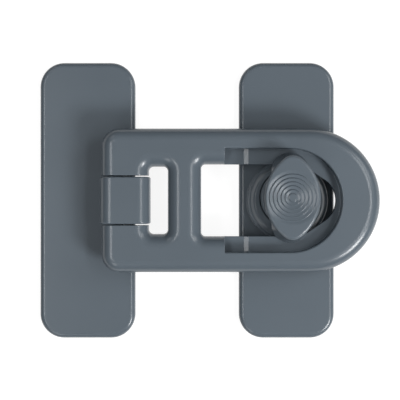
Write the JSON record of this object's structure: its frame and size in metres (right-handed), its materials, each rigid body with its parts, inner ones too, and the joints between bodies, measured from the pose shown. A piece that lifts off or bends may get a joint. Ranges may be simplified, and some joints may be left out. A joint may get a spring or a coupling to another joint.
{
  "type": "child safety lock",
  "caption": "Stick-on child safety lock: a hinged arm with a window and a slot drops over a turn knob, whose lock bar turns across the slot's ledges.",
  "frame": {"origin": "middle of the closed lock's footprint, on the surface that it sticks to", "axes": "+X from the hinge plate to the knob plate, +Y along the plates, +Z out of the surface"},
  "size_m": [0.097, 0.08, 0.022],
  "materials": {
    "plastic": "satin slate grey moulded plastic",
    "steel": "plain steel",
    "adhesive_foam": "matt foam tape"
  },
  "bodies": {
    "hinge_base": {"hinge_base": "plastic", "hinge_base_pad": "adhesive_foam"},
    "arm": {"arm": "plastic", "hinge_pin": "steel"},
    "strike_base": {"strike_base": "plastic", "strike_base_pad": "adhesive_foam"},
    "knob": {"knob": "plastic", "knob_washer": "steel", "knob_screw": "steel"}
  },
  "joints": [
    {"name": "arm_swing", "type": "hinge", "parent": "hinge_base", "child": "arm", "pos_m": [-0.0231, 0, 0.0114], "axis": [0, -1, 0], "range_deg": [0, 170]},
    {"name": "strike_shift", "type": "slide", "parent": "arm", "child": "strike_base", "axis": [1, 0, 0], "range_m": [-0.0055, 0.0012]},
    {"name": "knob_turn", "type": "hinge", "parent": "strike_base", "child": "knob", "pos_m": [0.0231, 0.00075, 0.0118], "axis": [0, 0, 1], "range_deg": [0, 90]}
  ]
}
